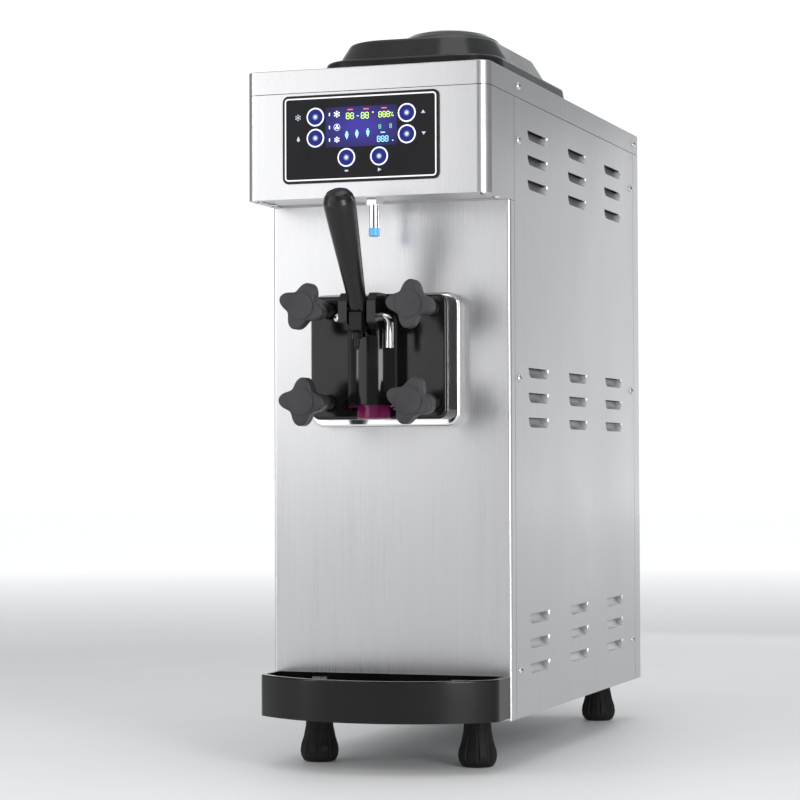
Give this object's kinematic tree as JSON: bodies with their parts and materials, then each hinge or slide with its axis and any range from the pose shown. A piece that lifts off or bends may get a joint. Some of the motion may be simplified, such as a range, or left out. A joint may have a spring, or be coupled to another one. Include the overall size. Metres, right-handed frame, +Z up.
{
  "type": "soft serve machine",
  "caption": "Tall stainless countertop soft serve machine with an overhanging lit fascia, a black dispensing block clamped by star knobs, a pull handle, bow-fronted drip tray and stepped lid.",
  "frame": {"origin": "on the floor under the middle of the whole machine's box", "axes": "+Z up, -Y out of the front, +X to the right seen from the front"},
  "size_m": [0.244, 0.6868, 0.7315],
  "materials": {
    "brushed_stainless": "satin",
    "plain_steel": "satin",
    "bright_steel": "polished",
    "galvanised_steel": "satin",
    "black_steel": "satin",
    "motor_paint": "satin",
    "compressor_paint": "gloss",
    "cast_aluminium": "matte",
    "fin_aluminium": "satin",
    "copper": "satin",
    "black_rubber": "matte",
    "lid_plastic": "satin",
    "tray_plastic": "gloss",
    "block_plastic": "satin",
    "knob_plastic": "matte",
    "grip_plastic": "satin",
    "gloss_black": "gloss",
    "fascia_glass": "gloss",
    "button_blue": "gloss",
    "board_green": "satin",
    "white_plastic": "satin",
    "nozzle_magenta": "gloss",
    "tip_blue": "gloss",
    "foam": "matte"
  },
  "bodies": {
    "cabinet": {"base_pan": "galvanised_steel", "beater_motor": "motor_paint", "casing_screws": "bright_steel", "compressor": "compressor_paint", "condenser": "fin_aluminium", "control_board": "board_green", "cord_gland": "block_plastic", "cylinder_flange": "bright_steel", "cylinder_seals": "black_rubber", "dispensing_block": "block_plastic", "drive_belt": "black_rubber", "fan_motor": "galvanised_steel", "fascia_bezel": "gloss_black", "fascia_panel": "fascia_glass", "feed_tube": "plain_steel", "feet": "black_rubber", "frame": "galvanised_steel", "freezing_cylinder": "plain_steel", "front_panel": "brushed_stainless", "gearbox": "cast_aluminium", "head_bottom_plate": "brushed_stainless", "head_shell": "brushed_stainless", "hopper": "plain_steel", "insulation": "foam", "left_side_panel": "brushed_stainless", "power_board": "board_green", "rear_panel": "brushed_stainless", "refrigerant_lines": "copper", "right_side_panel": "brushed_stainless", "spout_tip": "tip_blue", "spout_tube": "bright_steel", "top_cover": "brushed_stainless"},
    "handle": {"handle_lever": "black_steel", "handle_grip": "grip_plastic", "adjusting_screw": "black_steel"},
    "piston": {"valve_piston": "white_plastic", "piston_o_rings": "black_rubber"},
    "nozzle": {"star_nozzle": "nozzle_magenta"},
    "pin": {"pivot_pin": "bright_steel"},
    "lid": {"hopper_lid": "lid_plastic"},
    "tray": {"drip_tray": "tray_plastic"},
    "beater": {"beater": "plain_steel", "drive_shaft": "plain_steel"},
    "gearbox_wheel": {"gearbox_pulley": "cast_aluminium"},
    "motor_wheel": {"motor_pulley": "cast_aluminium"},
    "fan": {"fan_blades": "block_plastic"},
    "knob_upper_left": {"knob_upper_left": "knob_plastic"},
    "collar_upper_left": {"collar_upper_left": "bright_steel"},
    "knob_upper_right": {"knob_upper_right": "knob_plastic"},
    "collar_upper_right": {"collar_upper_right": "bright_steel"},
    "knob_lower_left": {"knob_lower_left": "knob_plastic"},
    "collar_lower_left": {"collar_lower_left": "bright_steel"},
    "knob_lower_right": {"knob_lower_right": "knob_plastic"},
    "collar_lower_right": {"collar_lower_right": "bright_steel"},
    "button_left_upper": {"button_left_upper": "button_blue"},
    "button_left_lower": {"button_left_lower": "button_blue"},
    "button_bottom_left": {"button_bottom_left": "button_blue"},
    "button_bottom_right": {"button_bottom_right": "button_blue"},
    "button_right_upper": {"button_right_upper": "button_blue"},
    "button_right_lower": {"button_right_lower": "button_blue"}
  },
  "joints": [
    {"name": "handle_tilt", "type": "hinge", "parent": "cabinet", "child": "handle", "pos_m": [0, -0.26656, 0.423], "axis": [1, 0, 0], "range_deg": [0, 34]},
    {"name": "piston_lift", "type": "slide", "parent": "cabinet", "child": "piston", "axis": [0, 0, 1], "range_m": [0, 0.019]},
    {"name": "pin_swing", "type": "hinge", "parent": "cabinet", "child": "pin", "pos_m": [0, -0.26656, 0.423], "axis": [1, 0, 0], "range_deg": [-110, 20]},
    {"name": "nozzle_twist", "type": "hinge", "parent": "cabinet", "child": "nozzle", "pos_m": [0, -0.23556, 0.3425], "axis": [0, 0, 1], "range_deg": [0, 45]},
    {"name": "collar_upper_left_travel", "type": "slide", "parent": "cabinet", "child": "collar_upper_left", "axis": [0, -1, 0], "range_m": [0, 0.0101]},
    {"name": "knob_upper_left_turn", "type": "hinge", "parent": "collar_upper_left", "child": "knob_upper_left", "pos_m": [-0.0526, -0.29156, 0.4335], "axis": [0, -1, 0], "range_deg": [0, 2880]},
    {"name": "collar_upper_right_travel", "type": "slide", "parent": "cabinet", "child": "collar_upper_right", "axis": [0, -1, 0], "range_m": [0, 0.0101]},
    {"name": "knob_upper_right_turn", "type": "hinge", "parent": "collar_upper_right", "child": "knob_upper_right", "pos_m": [0.0526, -0.29156, 0.4335], "axis": [0, -1, 0], "range_deg": [0, 2880]},
    {"name": "collar_lower_left_travel", "type": "slide", "parent": "cabinet", "child": "collar_lower_left", "axis": [0, -1, 0], "range_m": [0, 0.0101]},
    {"name": "knob_lower_left_turn", "type": "hinge", "parent": "collar_lower_left", "child": "knob_lower_left", "pos_m": [-0.0526, -0.29156, 0.345], "axis": [0, -1, 0], "range_deg": [0, 2880]},
    {"name": "collar_lower_right_travel", "type": "slide", "parent": "cabinet", "child": "collar_lower_right", "axis": [0, -1, 0], "range_m": [0, 0.0101]},
    {"name": "knob_lower_right_turn", "type": "hinge", "parent": "collar_lower_right", "child": "knob_lower_right", "pos_m": [0.0526, -0.29156, 0.345], "axis": [0, -1, 0], "range_deg": [0, 2880]},
    {"name": "button_left_upper_press", "type": "slide", "parent": "cabinet", "child": "button_left_upper", "axis": [0, 1, 0], "range_m": [0, 0.0008], "stiffness_N_per_m": 1000, "springref_m": -0.0006},
    {"name": "button_left_lower_press", "type": "slide", "parent": "cabinet", "child": "button_left_lower", "axis": [0, 1, 0], "range_m": [0, 0.0008], "stiffness_N_per_m": 1000, "springref_m": -0.0006},
    {"name": "button_bottom_left_press", "type": "slide", "parent": "cabinet", "child": "button_bottom_left", "axis": [0, 1, 0], "range_m": [0, 0.0008], "stiffness_N_per_m": 1000, "springref_m": -0.0006},
    {"name": "button_bottom_right_press", "type": "slide", "parent": "cabinet", "child": "button_bottom_right", "axis": [0, 1, 0], "range_m": [0, 0.0008], "stiffness_N_per_m": 1000, "springref_m": -0.0006},
    {"name": "button_right_upper_press", "type": "slide", "parent": "cabinet", "child": "button_right_upper", "axis": [0, 1, 0], "range_m": [0, 0.0008], "stiffness_N_per_m": 1000, "springref_m": -0.0006},
    {"name": "button_right_lower_press", "type": "slide", "parent": "cabinet", "child": "button_right_lower", "axis": [0, 1, 0], "range_m": [0, 0.0008], "stiffness_N_per_m": 1000, "springref_m": -0.0006},
    {"name": "lid_lift", "type": "slide", "parent": "cabinet", "child": "lid", "axis": [0, 0, 1], "range_m": [0, 0.1]},
    {"name": "tray_lift", "type": "slide", "parent": "cabinet", "child": "tray", "axis": [0, 0, 1], "range_m": [0, 0.008]},
    {"name": "beater_spin", "type": "hinge", "parent": "cabinet", "child": "beater", "pos_m": [0, -0.08856, 0.38775], "axis": [0, 1, 0], "continuous": true},
    {"name": "gearbox_pulley_spin", "type": "hinge", "parent": "cabinet", "child": "gearbox_wheel", "pos_m": [0, 0.13344, 0.38775], "axis": [0, 1, 0], "continuous": true},
    {"name": "motor_pulley_spin", "type": "hinge", "parent": "cabinet", "child": "motor_wheel", "pos_m": [0, 0.13344, 0.2405], "axis": [0, 1, 0], "continuous": true},
    {"name": "fan_spin", "type": "hinge", "parent": "cabinet", "child": "fan", "pos_m": [0, 0.25744, 0.1705], "axis": [0, 1, 0], "continuous": true}
  ],
  "couplings": [
    {"joint": "piston_lift", "follows": "handle_tilt", "m_per_rad": 0.031943},
    {"joint": "gearbox_pulley_spin", "follows": "beater_spin", "ratio": 4},
    {"joint": "motor_pulley_spin", "follows": "beater_spin", "ratio": 11.214},
    {"joint": "collar_upper_left_travel", "follows": "knob_upper_left_turn", "m_per_rad": 0.00019894},
    {"joint": "collar_upper_right_travel", "follows": "knob_upper_right_turn", "m_per_rad": 0.00019894},
    {"joint": "collar_lower_left_travel", "follows": "knob_lower_left_turn", "m_per_rad": 0.00019894},
    {"joint": "collar_lower_right_travel", "follows": "knob_lower_right_turn", "m_per_rad": 0.00019894}
  ]
}
